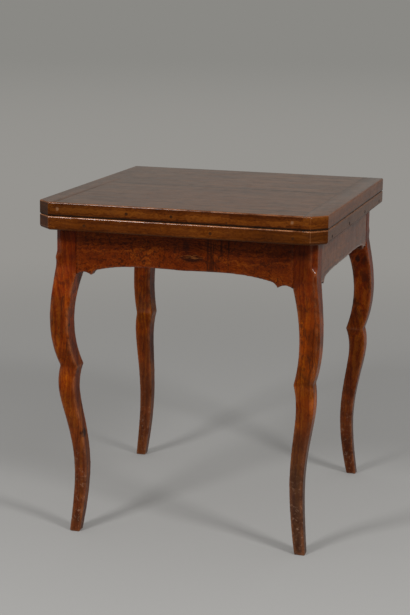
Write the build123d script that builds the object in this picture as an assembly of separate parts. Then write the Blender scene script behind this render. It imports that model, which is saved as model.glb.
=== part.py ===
"""Games table: a double top of two hinged leaves on a pegged frame with four curved legs.

The folded top turns a quarter on a pivot that stands off the frame's middle, then its upper
leaf folds over and both leaves lie on the frame. The frame holds a well for cards and counters.
Lengths are in millimetres, Z is up and the front faces -Y. The pieces are made about the
middle of the folded top, then moved so that the origin is under the middle of the whole table.
"""
import os
from math import sqrt

from build123d import *

os.makedirs("parts", exist_ok=True)

# Overall sizes
TABLE_H = 730.0            # floor to the top of the folded leaves
TOP_W = 617.0              # folded top, left to right
TOP_D = 659.0              # folded top, front to back
LEAF_T = 29.2              # each leaf
LEAF_GAP = 0.5             # air between the folded leaves
CANT = 30.0                # cut corner at the front of each leaf
FRONT_OVERHANG = 50.5      # top past the frame
SIDE_OVERHANG = 25.5
REAR_OVERHANG = 6.5

# Clearances
OVERRUN = 2.0              # how far cutting shapes run past the wood
GLUE_LINE = 0.1            # around tenons, tongues and pegs
SLIDE_GAP = 0.2            # lower leaf above the frame
RUNNING_GAP = 0.05         # round a turning pin
STOP_GAP = 0.3             # turn stop to what it meets
MORTISE_ROOM = 1.2         # past the end of a tenon

# Leaves
CLEAT_W = 46.0             # cross piece at each end of a leaf
TONGUE_L = 12.0
TONGUE_T = 9.0
BOARD_JOINT_Y = 21.0       # joint between a leaf's two boards, behind the top's middle
EDGE_TONGUE = 8.0          # front board's tongue into the rear board
TOP_ARRIS = 3.0            # worn upper edge of the upper leaf
INNER_ARRIS = 2.6          # edges beside the parting line
UNDER_ARRIS = 7.0          # rounded lower edge of the lower leaf
CANT_ARRIS = 2.0           # upright corners of the cut corners
REAR_GAP = 0.2             # between the leaves' rear edges when unfolded
CLEAT_PEG_R = 3.5
CLEAT_PEG_L = 74.0
CLEAT_PEG_UP = 10.5        # above the leaf's underside
CLEAT_PEG_FIRST = 72.0     # first peg behind the front edge
CLEAT_PEG_LAST = 44.0      # last peg before the rear edge
CLEAT_PEGS = 4
PLUG_R = 3.2
PLUG_L = 26.0
PLUG_UP = 13.0
# places of the plugs along each half of the front edge
LOWER_PLUG_SHARES = (-0.645, 0.233, 0.788)
UPPER_PLUG_SHARES = (-0.347, -0.036)

# Legs: width of the post, then stations down the leg
POST_W = 48.0
CORNER_CUT = 12.0          # cut corner beside the frieze
STOP_DROP = 53.0           # from the post's head to where the cut corner stops
SPUR_DROP = 13.0           # carved spur below the stop
SPUR_TAIL = 9.0            # height of the spur's lower slope
SPRING_DROP = 8.0          # from the spur's tail to where the curve begins
LEG_CUT = 6.0              # cut corner of the leg below the spur
FOOT_CUT = 3.0
LEG_ARRIS = 1.8            # the other three corners
# stations: height as a share of the curved leg, how far the face stands out, and the width
THIGH_SHARE, THIGH_SWELL, THIGH_W = 0.918, 8.0, 47.0
KNEE_SHARE, KNEE_SWELL, KNEE_W = 0.789, 14.5, 43.0
HOCK_SHARE, HOCK_SWELL, HOCK_W = 0.701, 10.5, 42.0
CUSP_SHARE, CUSP_SWELL, CUSP_W = 0.629, 0.2, 41.0
CALF_SHARE, CALF_SWELL, CALF_W = 0.570, 5.0, 38.6
SHIN_SHARE, SHIN_SWELL, SHIN_W = 0.439, -4.2, 34.0
ANKLE_SHARE, ANKLE_SWELL, ANKLE_W = 0.269, -15.8, 29.7
HEEL_SHARE, HEEL_SWELL, HEEL_W = 0.102, -10.8, 26.6
FOOT_SWELL, FOOT_W = -3.5, 23.5
# how far each foot has crept since the table was made: to the right, then to the rear
FRONT_LEFT_CREEP = (29.0, -9.0)
FRONT_RIGHT_CREEP = (-5.0, 1.0)
REAR_RIGHT_CREEP = (-9.0, 19.0)
REAR_LEFT_CREEP = (-12.0, 2.0)

# Aprons
APRON_T = 22.0
APRON_SET = 0.6            # apron's face behind the post's
APRON_DEPTH = 100.0        # from the top to the tips of the scalloped edge
TIP_FROM_POST = 33.0
NOTCH_RISE = 6.0           # hollow between the tip and the post
NOTCH_DROP = 0.5           # edge at the post, below the tip
ARCH_FROM_POST = 49.0
ARCH_START_RISE = 13.0     # the long arch begins this far above the tip
FRONT_CROWN_RISE = 23.0
SIDE_CROWN_RISE = 17.0
COVE_DEPTH = 2.0           # hollow between the arch and the tip
ARCH_SHOULDER = 34.0       # from the arch's start to where it flattens
SHOULDER_DROP_SHARE = 0.35  # of the arch's rise, still to climb at the shoulder
TENON_L = 28.0
TENON_T = 8.0
TENON_SET = 9.5            # tenon behind the apron's face
TENON_TOP_DROP = 13.0
TENON_LOW_RISE = 20.0      # above the tip
DRAW_PEG_R = 3.0
DRAW_PEG_SKIN = 6.0        # wood left under the post's outer face
DRAW_PEG_RISE = 15.0       # lower peg above the tenon's underside
DRAW_PEG_STEP = 28.0
PEGS_PER_TENON = 2
DRAW_PEG_OFFSET = 9.0      # side pegs above the front ones

# Well
FLOOR_RISE = 39.0          # underside of the floor above the scallop's tip
FLOOR_T = 8.0
FLOOR_BOARDS = 3
FLOOR_JOINT = 0.3
LEDGER_W = 14.0
LEDGER_H = 12.0
LEDGER_END_GAP = 1.0
NAIL_R = 1.2
NAIL_L = 26.0
NAIL_HEAD_R = 2.8
NAIL_HEAD_T = 0.9
NAILS_PER_LEDGER = 4
NAIL_END_DIST = 40.0

# Bearer and pivot
BEARER_W = 70.0
BEARER_H = 30.0
STUB_L = 9.0
STUB_W = 46.0
STUB_H = 16.0
PIVOT_R = 6.0
BUSH_WALL = 3.0
PIVOT_PLATE_W = 72.0
PIVOT_PLATE_T = 3.0
PIVOT_HEAD_R = 10.0
PIVOT_HEAD_T = 2.6
PIVOT_WASHER_R = 13.0
PIVOT_WASHER_T = 2.0
PIVOT_NUT_W = 21.0
PIVOT_NUT_T = 8.0
PIVOT_TAIL = 7.0
COTTER_R = 1.2
COTTER_OUT = 6.0
PLATE_SCREW_IN = 11.0      # screw from the plate's edges

# Turn stop under the lower leaf
STOP_BATTEN_W = 30.0
STOP_BATTEN_T = 17.0
STOP_BATTEN_OUT = 60.0     # from the pivot to the batten's near side
STOP_SCREW_END = 20.0

# Hinges
HINGE_IN = 72.0            # from the cleat's inner edge to the hinge's middle
HINGE_L = 64.0
HINGE_LEAF = 32.0
HINGE_T = 1.9
KNUCKLE_R = 3.7
KNUCKLE_GAP = 0.2
PIN_R = 1.6
BARREL_ROOM = 0.4
HINGE_SCREWS = 3
HINGE_SCREW_STEP = 22.0
HINGE_SCREW_BACK = 21.0    # from the barrel's middle

# Wood screws
SCREW_R = 1.7
SCREW_L = 17.0
SCREW_HEAD_R = 3.4
SCREW_HEAD_T = 1.5
SCREW_SLOT_W = 0.8
SCREW_SLOT_T = 0.7
BATTEN_SCREW_L = 30.0

# Levels and places worked out from the sizes above
UPPER_LOW = TABLE_H - LEAF_T
LOWER_TOP = UPPER_LOW - LEAF_GAP
LOWER_LOW = LOWER_TOP - LEAF_T
PARTING_Z = (UPPER_LOW + LOWER_TOP) / 2
FRAME_TOP = LOWER_LOW - SLIDE_GAP
STOP_Z = FRAME_TOP - STOP_DROP
SPUR_Z = STOP_Z - SPUR_DROP
SPUR_END_Z = SPUR_Z - SPUR_TAIL
SPRING_Z = SPUR_END_Z - SPRING_DROP
TIP_Z = FRAME_TOP - APRON_DEPTH
HALF_W = TOP_W / 2 - SIDE_OVERHANG
FRAME_FRONT = -TOP_D / 2 + FRONT_OVERHANG
FRAME_REAR = TOP_D / 2 - REAR_OVERHANG
HALF_D = (FRAME_REAR - FRAME_FRONT) / 2
FRAME_Y = (FRAME_REAR + FRAME_FRONT) / 2
INNER_W = HALF_W - APRON_SET - APRON_T
INNER_FRONT = FRAME_FRONT + APRON_SET + APRON_T
INNER_REAR = FRAME_REAR - APRON_SET - APRON_T
CLEAT_X = TOP_W / 2 - CLEAT_W
REAR_EDGE = TOP_D / 2 - REAR_GAP / 2
HINGE_X = CLEAT_X - HINGE_IN
CLEAT_PEG_STEP = (TOP_D - CLEAT_PEG_FIRST - CLEAT_PEG_LAST) / (CLEAT_PEGS - 1)
# a quarter turn about this point brings the hinge line over the frame's middle
PIVOT_X = (TOP_D / 2 - FRAME_Y) / 2
PIVOT_Y = (TOP_D / 2 + FRAME_Y) / 2
BEARER_LOW = FRAME_TOP - BEARER_H
TENON_LOW = TIP_Z + TENON_LOW_RISE
TENON_TOP = FRAME_TOP - TENON_TOP_DROP
INNER_SPRING_Z = TIP_Z - NOTCH_DROP
FLOOR_LOW = TIP_Z + FLOOR_RISE
FLOOR_TOP = FLOOR_LOW + FLOOR_T

PIECES = {}


def block(x0, x1, y0, y1, z0, z1):
    """Box between two corners."""
    return Pos(x0, y0, z0) * Box(x1 - x0, y1 - y0, z1 - z0, align=(Align.MIN, Align.MIN, Align.MIN))


def rod(start, direction, radius, length):
    """Round bar from a point along a direction."""
    place = Plane(origin=start, z_dir=direction)
    return place * Cylinder(radius, length, align=(Align.CENTER, Align.CENTER, Align.MIN))


def screw(place, direction, length):
    """Slotted countersunk wood screw, its head's face at the given place."""
    at = Plane(origin=place, z_dir=direction)
    head = Cone(SCREW_HEAD_R, SCREW_R, SCREW_HEAD_T, align=(Align.CENTER, Align.CENTER, Align.MIN))
    shank = Cylinder(SCREW_R, length, align=(Align.CENTER, Align.CENTER, Align.MIN))
    slot = Box(SCREW_HEAD_R * 3, SCREW_SLOT_W, SCREW_SLOT_T * 2)
    return at * (head + shank - slot)


def screw_hole(place, direction, length):
    """Room for a screw: the same shape, wider by the glue line."""
    at = Plane(origin=place, z_dir=direction)
    wide = SCREW_HEAD_R + GLUE_LINE
    thin = SCREW_R + GLUE_LINE
    head = Cone(wide, thin, SCREW_HEAD_T, align=(Align.CENTER, Align.CENTER, Align.MIN))
    shank = Cylinder(thin, length + GLUE_LINE, align=(Align.CENTER, Align.CENTER, Align.MIN))
    return at * (head + shank)


def cut(body, tools):
    """Body less each tool in turn."""
    for tool in tools:
        body = body - tool
    return body


# Leaves: a blank with its worn edges, parted into two boards and two end cleats
def leaf_blank(low, under_arris, upper_arris):
    half = TOP_W / 2
    front = -TOP_D / 2
    outline = Polygon(
        (-half, REAR_EDGE),
        (-half, front + CANT),
        (-half + CANT, front),
        (half - CANT, front),
        (half, front + CANT),
        (half, REAR_EDGE),
        align=None,
    )
    blank = Pos(0, 0, low) * extrude(outline, LEAF_T)
    uprights = blank.edges().filter_by(Axis.Z).filter_by(lambda e: e.center().Y < REAR_EDGE / 2)
    blank = fillet(uprights, CANT_ARRIS)
    rim = blank.edges().filter_by(lambda e: abs(e.center().Y - REAR_EDGE) > GLUE_LINE)
    lower_rim = rim.filter_by(lambda e: abs(e.bounding_box().max.Z - low) < GLUE_LINE)
    blank = fillet(lower_rim, under_arris)
    rim = blank.edges().filter_by(lambda e: abs(e.center().Y - REAR_EDGE) > GLUE_LINE)
    upper_rim = rim.filter_by(lambda e: abs(e.bounding_box().min.Z - low - LEAF_T) < GLUE_LINE)
    return fillet(upper_rim, upper_arris)


def leaf_pieces(blank, low):
    """Front board, rear board, left cleat and right cleat of one leaf."""
    far = TOP_W + TOP_D
    top = low + LEAF_T
    tongue_low = low + (LEAF_T - TONGUE_T) / 2
    tongue_top = tongue_low + TONGUE_T
    reach = CLEAT_X + TONGUE_L
    boards = blank & block(-reach, reach, -far, far, low, top)
    for side in (-1, 1):
        x0, x1 = sorted((side * CLEAT_X, side * (reach + OVERRUN)))
        boards = boards - block(x0, x1, -far, far, low - OVERRUN, tongue_low)
        boards = boards - block(x0, x1, -far, far, tongue_top, top + OVERRUN)
    tongue_y = BOARD_JOINT_Y + EDGE_TONGUE
    edge_tongue = block(-reach, reach, BOARD_JOINT_Y, tongue_y, tongue_low, tongue_top)
    room_y = tongue_y + GLUE_LINE
    room_low = tongue_low - GLUE_LINE
    room_top = tongue_top + GLUE_LINE
    edge_room = block(-far, far, BOARD_JOINT_Y - OVERRUN, room_y, room_low, room_top)
    front = boards & block(-far, far, -far, BOARD_JOINT_Y, low, top)
    front = front + edge_tongue
    rear = (boards & block(-far, far, BOARD_JOINT_Y, far, low, top)) - edge_room
    cleats = []
    for side in (-1, 1):
        x0, x1 = sorted((side * CLEAT_X, side * far))
        cleat = blank & block(x0, x1, -far, far, low, top)
        s0, s1 = sorted((side * (CLEAT_X - OVERRUN), side * (reach + GLUE_LINE)))
        cleats.append(cleat - block(s0, s1, -far, far, room_low, room_top))
    return front, rear, cleats[0], cleats[1]


def cleat_pegs(low, grow, reach_out):
    """Pegs driven in through the outer edge of each cleat into the boards."""
    pegs = []
    for side in (-1, 1):
        for number in range(CLEAT_PEGS):
            y = -TOP_D / 2 + CLEAT_PEG_FIRST + number * CLEAT_PEG_STEP
            start = (side * (TOP_W / 2 + reach_out), y, low + CLEAT_PEG_UP)
            pegs.append(rod(start, (-side, 0, 0), CLEAT_PEG_R + grow, CLEAT_PEG_L + grow + reach_out))
    return pegs


def edge_plugs(low, shares, grow, reach_out):
    """Short plugs in the front edge of a leaf."""
    plugs = []
    for share in shares:
        start = (share * TOP_W / 2, -TOP_D / 2 - reach_out, low + PLUG_UP)
        plugs.append(rod(start, (0, 1, 0), PLUG_R + grow, PLUG_L + grow + reach_out))
    return plugs


# Hinges: two knuckles on the lower plate, one between them on the upper plate
def hinge_plate(x, upper):
    half = HINGE_L / 2
    third = HINGE_L / 6
    axis_y = TOP_D / 2
    z0 = UPPER_LOW if upper else LOWER_TOP - HINGE_T
    plate = block(x - half, x + half, axis_y - HINGE_LEAF, axis_y, z0, z0 + HINGE_T)
    middle = (x - third + KNUCKLE_GAP / 2, x + third - KNUCKLE_GAP / 2)
    ends = ((x - half, x - third - KNUCKLE_GAP / 2), (x + third + KNUCKLE_GAP / 2, x + half))
    own, other = ([middle], ends) if upper else (ends, [middle])
    for x0, x1 in other:
        start = (x0 - KNUCKLE_GAP, axis_y, PARTING_Z)
        plate = plate - rod(start, (1, 0, 0), KNUCKLE_R + BARREL_ROOM, x1 - x0 + KNUCKLE_GAP * 2)
    for x0, x1 in own:
        plate = plate + rod((x0, axis_y, PARTING_Z), (1, 0, 0), KNUCKLE_R, x1 - x0)
    bore_gap = RUNNING_GAP if upper else RUNNING_GAP / 2
    bore = rod((x - HINGE_L, axis_y, PARTING_Z), (1, 0, 0), PIN_R + bore_gap, HINGE_L * 2)
    plate = plate - bore
    return cut(plate, hinge_screws(x, upper, screw_hole))


def hinge_screws(x, upper, maker):
    made = []
    for number in range(HINGE_SCREWS):
        sx = x + (number - (HINGE_SCREWS - 1) / 2) * HINGE_SCREW_STEP
        sz = UPPER_LOW if upper else LOWER_TOP
        direction = (0, 0, 1) if upper else (0, 0, -1)
        made.append(maker((sx, TOP_D / 2 - HINGE_SCREW_BACK, sz), direction, SCREW_L))
    return made


def hinge_room(upper):
    """Recesses in a leaf for both plates, barrels and their screws."""
    rooms = []
    for x in (-HINGE_X, HINGE_X):
        x0 = x - HINGE_L / 2 - GLUE_LINE
        x1 = x + HINGE_L / 2 + GLUE_LINE
        y0 = TOP_D / 2 - HINGE_LEAF - GLUE_LINE
        z0 = UPPER_LOW - OVERRUN if upper else LOWER_TOP - HINGE_T
        z1 = UPPER_LOW + HINGE_T if upper else LOWER_TOP + OVERRUN
        rooms.append(block(x0, x1, y0, TOP_D, z0, z1))
        start = (x0 - BARREL_ROOM, TOP_D / 2, PARTING_Z)
        length = x1 - x0 + BARREL_ROOM * 2
        rooms.append(rod(start, (1, 0, 0), KNUCKLE_R + BARREL_ROOM, length))
        rooms.extend(hinge_screws(x, upper, screw_hole))
    return rooms


# Pivot in the lower leaf's underside
def pivot_screws(maker):
    made = []
    out = PIVOT_PLATE_W / 2 - PLATE_SCREW_IN
    for sx in (-out, out):
        for sy in (-out, out):
            made.append(maker((PIVOT_X + sx, PIVOT_Y + sy, LOWER_LOW), (0, 0, 1), SCREW_L))
    return made


def square_about_pivot(width, z0, z1):
    half = width / 2
    return block(PIVOT_X - half, PIVOT_X + half, PIVOT_Y - half, PIVOT_Y + half, z0, z1)


def pivot_bar(radius, z0, z1):
    return rod((PIVOT_X, PIVOT_Y, z0), (0, 0, 1), radius, z1 - z0)


PLATE_TOP = LOWER_LOW + PIVOT_PLATE_T
HEAD_TOP = PLATE_TOP + PIVOT_HEAD_T
WASHER_LOW = BEARER_LOW - PIVOT_WASHER_T
NUT_LOW = WASHER_LOW - PIVOT_NUT_T
STUD_LOW = NUT_LOW - PIVOT_TAIL
COTTER_Z = NUT_LOW - COTTER_R * 2
BATTEN_LOW = LOWER_LOW - STOP_BATTEN_T
BATTEN_X1 = PIVOT_X - STOP_BATTEN_OUT
BATTEN_X0 = BATTEN_X1 - STOP_BATTEN_W
# at rest the batten's rear end meets the rear apron; a quarter turn on, its front end meets the bearer
BATTEN_Y0 = PIVOT_Y + BEARER_W / 2 + STOP_GAP
BATTEN_Y1 = INNER_REAR - STOP_GAP


def batten_screws(maker):
    made = []
    x = (BATTEN_X0 + BATTEN_X1) / 2
    for y in (BATTEN_Y0 + STOP_SCREW_END, BATTEN_Y1 - STOP_SCREW_END):
        made.append(maker((x, y, BATTEN_LOW), (0, 0, 1), BATTEN_SCREW_L))
    return made


for name, low, under_arris, upper_arris, plug_shares in (
    ("lower", LOWER_LOW, UNDER_ARRIS, INNER_ARRIS, LOWER_PLUG_SHARES),
    ("upper", UPPER_LOW, INNER_ARRIS, TOP_ARRIS, UPPER_PLUG_SHARES),
):
    blank = leaf_blank(low, under_arris, upper_arris)
    front, rear, left, right = leaf_pieces(blank, low)
    peg_holes = cleat_pegs(low, GLUE_LINE, OVERRUN)
    plug_holes = edge_plugs(low, plug_shares, GLUE_LINE, OVERRUN)
    front = cut(front, peg_holes + plug_holes)
    rear = cut(rear, peg_holes + hinge_room(name == "upper"))
    if name == "lower":
        rear = rear - square_about_pivot(PIVOT_PLATE_W + GLUE_LINE * 2, LOWER_LOW - OVERRUN, PLATE_TOP)
        rear = rear - pivot_bar(PIVOT_HEAD_R + GLUE_LINE, LOWER_LOW, HEAD_TOP)
        rear = cut(rear, pivot_screws(screw_hole) + batten_screws(screw_hole))
    PIECES[name + "_leaf_front_board"] = front
    PIECES[name + "_leaf_rear_board"] = rear
    PIECES[name + "_leaf_left_cleat"] = cut(left, peg_holes)
    PIECES[name + "_leaf_right_cleat"] = cut(right, peg_holes)
    PIECES[name + "_leaf_cleat_pegs"] = [peg & blank for peg in cleat_pegs(low, 0, 0)]
    PIECES[name + "_leaf_edge_plugs"] = [plug & blank for plug in edge_plugs(low, plug_shares, 0, 0)]
    PIECES[name + "_hinge_screws"] = []
for side, x in (("left", -HINGE_X), ("right", HINGE_X)):
    PIECES["lower_hinge_plate_" + side] = hinge_plate(x, False)
    PIECES["upper_hinge_plate_" + side] = hinge_plate(x, True)
    PIECES["hinge_pin_" + side] = rod((x - HINGE_L / 2, TOP_D / 2, PARTING_Z), (1, 0, 0), PIN_R, HINGE_L)
    PIECES["lower_hinge_screws"] += hinge_screws(x, False, screw)
    PIECES["upper_hinge_screws"] += hinge_screws(x, True, screw)

plate = square_about_pivot(PIVOT_PLATE_W, LOWER_LOW, PLATE_TOP)
plate = plate - pivot_bar(PIVOT_R + RUNNING_GAP, LOWER_LOW - OVERRUN, PLATE_TOP + OVERRUN)
PIECES["pivot_plate"] = cut(plate, pivot_screws(screw_hole))
PIECES["pivot_plate_screws"] = pivot_screws(screw)
stud = pivot_bar(PIVOT_R, STUD_LOW, PLATE_TOP) + pivot_bar(PIVOT_HEAD_R, PLATE_TOP, HEAD_TOP)
cotter_half = PIVOT_R + COTTER_OUT
cotter_start = (PIVOT_X - cotter_half, PIVOT_Y, COTTER_Z)
PIECES["pivot_stud"] = stud - rod(cotter_start, (1, 0, 0), COTTER_R + RUNNING_GAP, cotter_half * 2)
PIECES["pivot_cotter"] = rod(cotter_start, (1, 0, 0), COTTER_R, cotter_half * 2)
through = pivot_bar(PIVOT_R + RUNNING_GAP, STUD_LOW - OVERRUN, FRAME_TOP + OVERRUN)
washer = pivot_bar(PIVOT_WASHER_R, WASHER_LOW, BEARER_LOW)
PIECES["pivot_washer"] = washer - through
PIECES["pivot_nut"] = square_about_pivot(PIVOT_NUT_W, NUT_LOW, WASHER_LOW) - through
batten = block(BATTEN_X0, BATTEN_X1, BATTEN_Y0, BATTEN_Y1, BATTEN_LOW, LOWER_LOW)
PIECES["turn_stop_batten"] = cut(batten, batten_screws(screw_hole))
PIECES["turn_stop_screws"] = batten_screws(screw)


# Legs: two crossed outlines give the square section, two more at 45 degrees its cut corners
UPPER_STATIONS = (
    (THIGH_SHARE, THIGH_SWELL, THIGH_W),
    (KNEE_SHARE, KNEE_SWELL, KNEE_W),
    (HOCK_SHARE, HOCK_SWELL, HOCK_W),
    (CUSP_SHARE, CUSP_SWELL, CUSP_W),
)
LOWER_STATIONS = (
    (CUSP_SHARE, CUSP_SWELL, CUSP_W),
    (CALF_SHARE, CALF_SWELL, CALF_W),
    (SHIN_SHARE, SHIN_SWELL, SHIN_W),
    (ANKLE_SHARE, ANKLE_SWELL, ANKLE_W),
    (HEEL_SHARE, HEEL_SWELL, HEEL_W),
    (0, FOOT_SWELL, FOOT_W),
)


def creep_at(z, creep):
    """How far a height on the leg has crept: nothing at the spring, all of it at the floor."""
    return creep * (1 - z / SPRING_Z)


def corner_cut_at(z):
    """Width of the leg's cut outer corner, less towards the foot."""
    return FOOT_CUT + (LEG_CUT - FOOT_CUT) * z / SPRING_Z


def leg_outline(outer_head, inner_head, outer_inset, inner_inset):
    """Closed face of a leg seen along one axis.

    Each head is the list of points down one side of the post. Each inset gives the distance of
    that side's curve from the corner for a station's height, swell and width.
    """
    lines = [Line(outer_head[0], inner_head[0])]
    feet = []
    for head, inset in ((outer_head, outer_inset), (inner_head, inner_inset)):
        lines += [Line(a, b) for a, b in zip(head[:-1], head[1:])]
        upper = [(inset(share * SPRING_Z, swell, width), share * SPRING_Z) for share, swell, width in UPPER_STATIONS]
        lower = [(inset(share * SPRING_Z, swell, width), share * SPRING_Z) for share, swell, width in LOWER_STATIONS]
        lines.append(Spline(head[-1], *upper))
        lines.append(Spline(*lower))
        feet.append(lower[-1])
    lines.append(Line(feet[0], feet[1]))
    return make_face(Curve() + lines)


def leg_prism(corner, x_dir, outline):
    """The outline as a long bar across the leg; its x runs inward from the corner."""
    back = (x_dir[1], -x_dir[0], 0)
    place = Plane(origin=corner, x_dir=x_dir, z_dir=back)
    return extrude(place * outline, POST_W * 2, both=True)


def leg_body(side, end, creep):
    """side is -1 left or 1 right, end is -1 front or 1 rear; creep is outward, across and along."""
    corner = (side * HALF_W, FRAME_FRONT if end < 0 else FRAME_REAR, 0)
    out_x, out_y = creep
    body = None
    for x_dir, out in (((-side, 0, 0), out_x), ((0, -end, 0), out_y)):
        outline = leg_outline(
            [(0, FRAME_TOP), (0, SPRING_Z)],
            [(POST_W, FRAME_TOP), (POST_W, INNER_SPRING_Z)],
            lambda z, swell, width: -swell - creep_at(z, out),
            lambda z, swell, width: width - swell - creep_at(z, out),
        )
        prism = leg_prism(corner, x_dir, outline)
        body = prism if body is None else body & prism
    # along the diagonal through the corner a distance is the two insets' sum over root two
    root = sqrt(2)
    out = out_x + out_y
    deep = POST_W * root + LEG_ARRIS
    outline = leg_outline(
        [
            (CORNER_CUT / root, FRAME_TOP),
            (CORNER_CUT / root, STOP_Z),
            (LEG_ARRIS / root, SPUR_Z),
            (LEG_CUT / root, SPUR_END_Z),
            (LEG_CUT / root, SPRING_Z),
        ],
        [(deep, FRAME_TOP), (deep, INNER_SPRING_Z)],
        lambda z, swell, width: (corner_cut_at(z) - swell * 2 - creep_at(z, out)) / root,
        lambda z, swell, width: ((width - swell) * 2 - LEG_ARRIS - creep_at(z, out)) / root,
    )
    body = body & leg_prism(corner, (-side, -end, 0), outline)
    # across the other diagonal both sides stand alike off the corner
    skew = out_y - out_x
    wide = POST_W / root + LEG_ARRIS
    outline = leg_outline(
        [(-wide, FRAME_TOP), (-wide, SPRING_Z)],
        [(wide, FRAME_TOP), (wide, SPRING_Z)],
        lambda z, swell, width: (LEG_ARRIS - width + creep_at(z, skew)) / root,
        lambda z, swell, width: (width - LEG_ARRIS + creep_at(z, skew)) / root,
    )
    return body & leg_prism(corner, (-side, end, 0), outline)


def apron_outline(half, crown_rise):
    """Face of an apron between its posts, with the scalloped lower edge."""
    arch = half - ARCH_FROM_POST
    tip = half - TIP_FROM_POST
    crown = TIP_Z + crown_rise
    start_z = TIP_Z + ARCH_START_RISE
    shoulder = arch - ARCH_SHOULDER
    shoulder_z = crown - (crown - start_z) * SHOULDER_DROP_SHARE
    lines = [Line((-half, FRAME_TOP), (half, FRAME_TOP))]
    for side in (-1, 1):
        post_end = (side * half, TIP_Z - NOTCH_DROP)
        notch = (side * (half + tip) / 2, TIP_Z + NOTCH_RISE)
        lines.append(Line((side * half, FRAME_TOP), post_end))
        lines.append(ThreePointArc(post_end, notch, (side * tip, TIP_Z)))
        cove_x = (arch + tip) / 2 + COVE_DEPTH
        cove_z = (TIP_Z + start_z) / 2 + COVE_DEPTH
        lines.append(ThreePointArc((side * tip, TIP_Z), (side * cove_x, cove_z), (side * arch, start_z)))
    lines.append(
        Spline(
            (-arch, start_z),
            (-shoulder, shoulder_z),
            (0, crown),
            (shoulder, shoulder_z),
            (arch, start_z),
        )
    )
    return make_face(Curve() + lines)


def apron_places():
    """Where each apron stands: its place, half its length between the posts and its crown."""
    across = HALF_W - POST_W
    along = HALF_D - POST_W
    return {
        "front": (Pos(0, FRAME_FRONT + APRON_SET, 0), across, FRONT_CROWN_RISE),
        "rear": (Pos(0, FRAME_REAR - APRON_SET, 0) * Rot(0, 0, 180), across, FRONT_CROWN_RISE),
        "left": (Pos(-HALF_W + APRON_SET, FRAME_Y, 0) * Rot(0, 0, -90), along, SIDE_CROWN_RISE),
        "right": (Pos(HALF_W - APRON_SET, FRAME_Y, 0) * Rot(0, 0, 90), along, SIDE_CROWN_RISE),
    }


def tenons(half, grow, room):
    made = []
    for side in (-1, 1):
        x0, x1 = sorted((side * (half - room), side * (half + TENON_L + room)))
        y0 = TENON_SET - grow
        y1 = TENON_SET + TENON_T + grow
        made.append(block(x0, x1, y0, y1, TENON_LOW - grow, TENON_TOP + grow))
    return made


def draw_pegs(half, lift, grow, reach_out):
    """Two pegs at each end of an apron, driven from the post's inner face through the tenon."""
    made = []
    inner_face = POST_W - APRON_SET
    length = inner_face - DRAW_PEG_SKIN
    for side in (-1, 1):
        for number in range(PEGS_PER_TENON):
            z = TENON_LOW + DRAW_PEG_RISE + number * DRAW_PEG_STEP + lift
            start = (side * (half + TENON_L / 2), inner_face + reach_out, z)
            made.append(rod(start, (0, -1, 0), DRAW_PEG_R + grow, length + grow + reach_out))
    return made


def bearer_stubs(grow):
    mid = (BEARER_LOW + FRAME_TOP) / 2
    made = []
    for y0, y1 in ((INNER_FRONT - STUB_L, INNER_FRONT), (INNER_REAR, INNER_REAR + STUB_L)):
        half = STUB_W / 2 + grow
        tall = STUB_H / 2 + grow
        made.append(block(PIVOT_X - half, PIVOT_X + half, y0 - grow, y1 + grow, mid - tall, mid + tall))
    return made


LEDGER_FRONT_Y = INNER_FRONT + LEDGER_W
LEDGER_REAR_Y = INNER_REAR - LEDGER_W


def ledger_nails(grow):
    made = []
    z = FLOOR_LOW - LEDGER_H / 2
    reach = HALF_W - POST_W - NAIL_END_DIST
    for y, out in ((LEDGER_FRONT_Y, -1), (LEDGER_REAR_Y, 1)):
        for number in range(NAILS_PER_LEDGER):
            x = -reach + number * reach * 2 / (NAILS_PER_LEDGER - 1)
            nail = rod((x, y, z), (0, out, 0), NAIL_R + grow, NAIL_L + grow)
            if not grow:
                nail = nail + rod((x, y, z), (0, -out, 0), NAIL_HEAD_R, NAIL_HEAD_T)
            made.append(nail)
    return made


post_holes = []
DRAW_PEGS = []
for name, (place, half, crown_rise) in apron_places().items():
    lift = 0 if name in ("front", "rear") else DRAW_PEG_OFFSET
    upright = Plane(origin=(0, 0, 0), x_dir=(1, 0, 0), z_dir=(0, -1, 0))
    body = extrude(upright * apron_outline(half, crown_rise), -APRON_T)
    for tenon in tenons(half, 0, 0):
        body = body + tenon
    holes = draw_pegs(half, lift, GLUE_LINE, OVERRUN)
    body = place * cut(body, holes)
    body = cut(body, bearer_stubs(GLUE_LINE) + ledger_nails(GLUE_LINE))
    PIECES["apron_" + name] = body
    post_holes += [place * tool for tool in tenons(half, GLUE_LINE, MORTISE_ROOM) + holes]
    DRAW_PEGS += [place * peg for peg in draw_pegs(half, lift, 0, 0)]
PIECES["draw_pegs"] = DRAW_PEGS

for name, side, end, (right, rearward) in (
    ("front_left", -1, -1, FRONT_LEFT_CREEP),
    ("front_right", 1, -1, FRONT_RIGHT_CREEP),
    ("rear_right", 1, 1, REAR_RIGHT_CREEP),
    ("rear_left", -1, 1, REAR_LEFT_CREEP),
):
    body = leg_body(side, end, (side * right, end * rearward))
    PIECES["leg_" + name] = cut(body, post_holes)

across = HALF_W - POST_W - LEDGER_END_GAP
ledger_low = FLOOR_LOW - LEDGER_H
front_ledger = block(-across, across, INNER_FRONT, LEDGER_FRONT_Y, ledger_low, FLOOR_LOW)
rear_ledger = block(-across, across, LEDGER_REAR_Y, INNER_REAR, ledger_low, FLOOR_LOW)
PIECES["floor_ledger_front"] = cut(front_ledger, ledger_nails(GLUE_LINE))
PIECES["floor_ledger_rear"] = cut(rear_ledger, ledger_nails(GLUE_LINE))
PIECES["ledger_nails"] = ledger_nails(0)

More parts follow.
